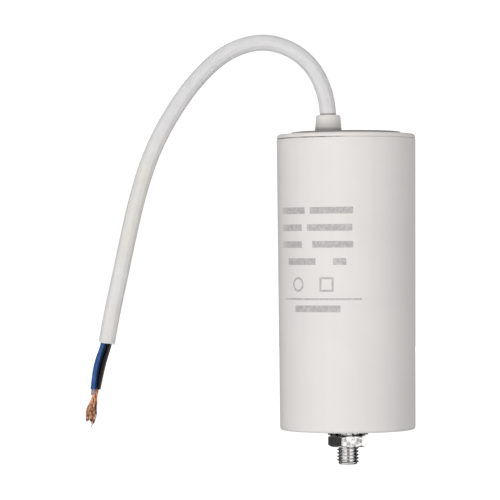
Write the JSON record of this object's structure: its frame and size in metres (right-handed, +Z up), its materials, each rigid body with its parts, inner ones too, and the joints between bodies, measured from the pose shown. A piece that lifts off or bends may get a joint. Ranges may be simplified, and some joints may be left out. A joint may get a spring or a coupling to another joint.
{
  "type": "motor run capacitor",
  "caption": "Round white plastic-cased film capacitor with a threaded mounting stud, washer and nut at its base and a stripped cable from a collar on its lid.",
  "frame": {"origin": "centre of the can's flat base face, which meets the chassis", "axes": "+Z up the can's axis from the base to the lid, -Z along the stud, -X towards the side that the cable arches over to"},
  "size_m": [0.1223, 0.0512, 0.1591],
  "materials": {
    "white_plastic": "moulded polypropylene, satin",
    "zinc_steel": "bright zinc plate",
    "spring_steel": "dark zinc plate",
    "white_sheath": "extruded PVC, satin",
    "blue_insulation": "extruded PVC",
    "black_insulation": "extruded PVC",
    "bare_copper": "fine drawn strands",
    "core_tube": "extruded",
    "metallised_film": "metallised polypropylene film",
    "clear_wrap": "plain film turns",
    "sprayed_zinc": "rough metal spray",
    "solder": "bright solder",
    "potting_resin": "cast resin"
  },
  "bodies": {
    "root": {"can": "white_plastic", "lid": "white_plastic", "mounting_stud": "zinc_steel", "lock_washer": "spring_steel", "stud_nut": "zinc_steel", "cable_sheath": "white_sheath", "blue_core_tail": "blue_insulation", "black_core_tail": "black_insulation", "blue_strands": "bare_copper", "black_strands": "bare_copper", "winding_core": "core_tube", "winding": "metallised_film", "winding_wrap": "clear_wrap", "bottom_end_spray": "sprayed_zinc", "top_end_spray": "sprayed_zinc", "blue_lead": "blue_insulation", "black_lead": "black_insulation", "blue_lead_end_wire": "bare_copper", "black_lead_end_wire": "bare_copper", "top_solder": "solder", "bottom_solder": "solder", "potting_resin": "potting_resin"}
  },
  "joints": []
}
